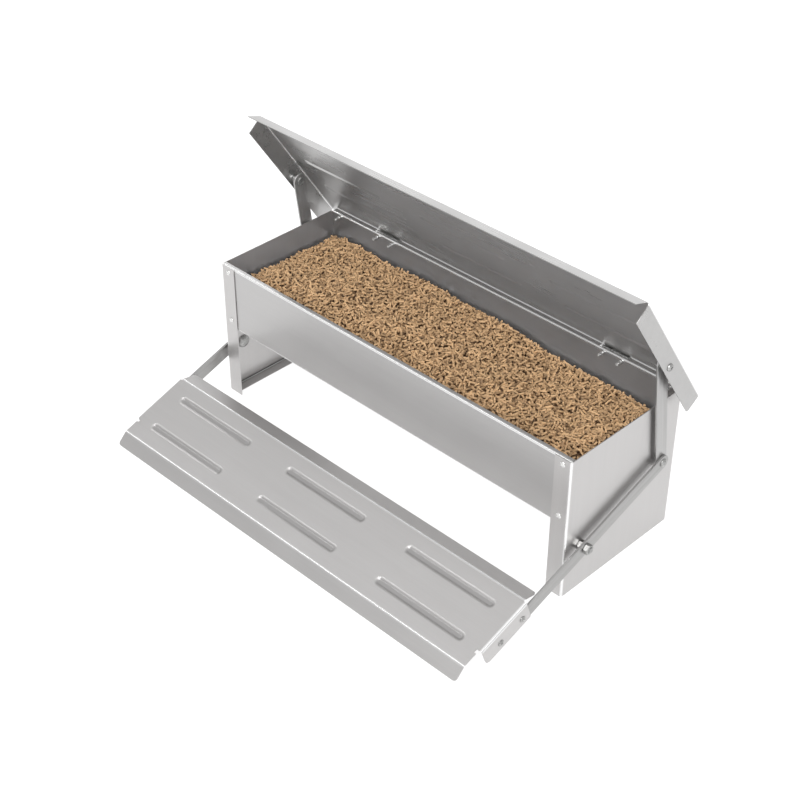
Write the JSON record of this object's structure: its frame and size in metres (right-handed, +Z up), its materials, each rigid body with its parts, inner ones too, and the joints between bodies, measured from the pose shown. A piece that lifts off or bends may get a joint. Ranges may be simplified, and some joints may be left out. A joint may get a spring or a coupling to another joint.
{
  "type": "treadle poultry feeder",
  "caption": "Treadle poultry feeder: a folded sheet-metal feed trough between side panels, with a hinged lid that link bars raise when the step plate in front is pressed.",
  "frame": {"origin": "on the ground under the middle of the object's box, step down and lid open", "axes": "+X to the right along the trough, -Y towards the step plate at the front, +Z up"},
  "size_m": [0.6382, 0.4058, 0.3873],
  "materials": {
    "aluminium_sheet": "mill-finish sheet, faintly brushed",
    "aluminium_bar": "extruded flat bar, satin",
    "zinc_steel": "bright zinc plate"
  },
  "bodies": {
    "frame": {"trough": "aluminium_sheet", "side_panel_left": "aluminium_sheet", "side_panel_right": "aluminium_sheet", "front_rivet_left_upper": "zinc_steel", "front_rivet_left_lower": "zinc_steel", "front_rivet_right_upper": "zinc_steel", "front_rivet_right_lower": "zinc_steel", "back_rivet_left_upper": "zinc_steel", "back_rivet_left_lower": "zinc_steel", "back_rivet_right_upper": "zinc_steel", "back_rivet_right_lower": "zinc_steel", "hinge_fixed_leaf_left": "zinc_steel", "hinge_fixed_leaf_right": "zinc_steel", "hinge_pin_left": "zinc_steel", "hinge_pin_right": "zinc_steel", "hinge_rivet_left_outer": "zinc_steel", "hinge_rivet_left_inner": "zinc_steel", "hinge_rivet_right_outer": "zinc_steel", "hinge_rivet_right_inner": "zinc_steel", "pivot_bolt_left": "zinc_steel", "pivot_bolt_right": "zinc_steel", "pivot_inner_nut_left": "zinc_steel", "pivot_outer_nut_left": "zinc_steel", "pivot_inner_nut_right": "zinc_steel", "pivot_outer_nut_right": "zinc_steel"},
    "lid_body": {"lid": "aluminium_sheet", "hinge_moving_leaf_left": "zinc_steel", "hinge_moving_leaf_right": "zinc_steel", "lid_bolt_left": "zinc_steel", "lid_bolt_right": "zinc_steel", "lid_spacer_left": "zinc_steel", "lid_spacer_right": "zinc_steel", "lid_nut_left": "zinc_steel", "lid_nut_right": "zinc_steel"},
    "treadle_body": {"treadle_plate": "aluminium_sheet", "treadle_arm_left": "aluminium_bar", "treadle_arm_right": "aluminium_bar", "treadle_rivet_left_front": "zinc_steel", "treadle_rivet_left_rear": "zinc_steel", "treadle_rivet_right_front": "zinc_steel", "treadle_rivet_right_rear": "zinc_steel", "arm_rivet_left": "zinc_steel", "arm_rivet_right": "zinc_steel"},
    "link_left": {"link_bar_left": "aluminium_bar", "link_rivet_left": "zinc_steel"},
    "link_right": {"link_bar_right": "aluminium_bar", "link_rivet_right": "zinc_steel"}
  },
  "joints": [
    {"name": "treadle_pivot", "type": "hinge", "parent": "frame", "child": "treadle_body", "pos_m": [0, 0.01435, 0.067], "axis": [-1, 0, 0], "range_deg": [0, 27.86]},
    {"name": "lid_hinge", "type": "hinge", "parent": "frame", "child": "lid_body", "pos_m": [0, 0.19385, 0.2006], "axis": [1, 0, 0], "range_deg": [0, 56.2]},
    {"name": "link_left_pivot", "type": "hinge", "parent": "lid_body", "child": "link_left", "pos_m": [-0.30485, 0.13331, 0.26802], "axis": [1, 0, 0], "range_deg": [-42.62, 0]},
    {"name": "link_right_pivot", "type": "hinge", "parent": "lid_body", "child": "link_right", "pos_m": [0.30485, 0.13331, 0.26802], "axis": [1, 0, 0], "range_deg": [-42.62, 0]}
  ],
  "couplings": [
    {"joint": "lid_hinge", "follows": "treadle_pivot", "ratio": 2.0171},
    {"joint": "link_left_pivot", "follows": "treadle_pivot", "ratio": -1.5294},
    {"joint": "link_right_pivot", "follows": "treadle_pivot", "ratio": -1.5294}
  ]
}
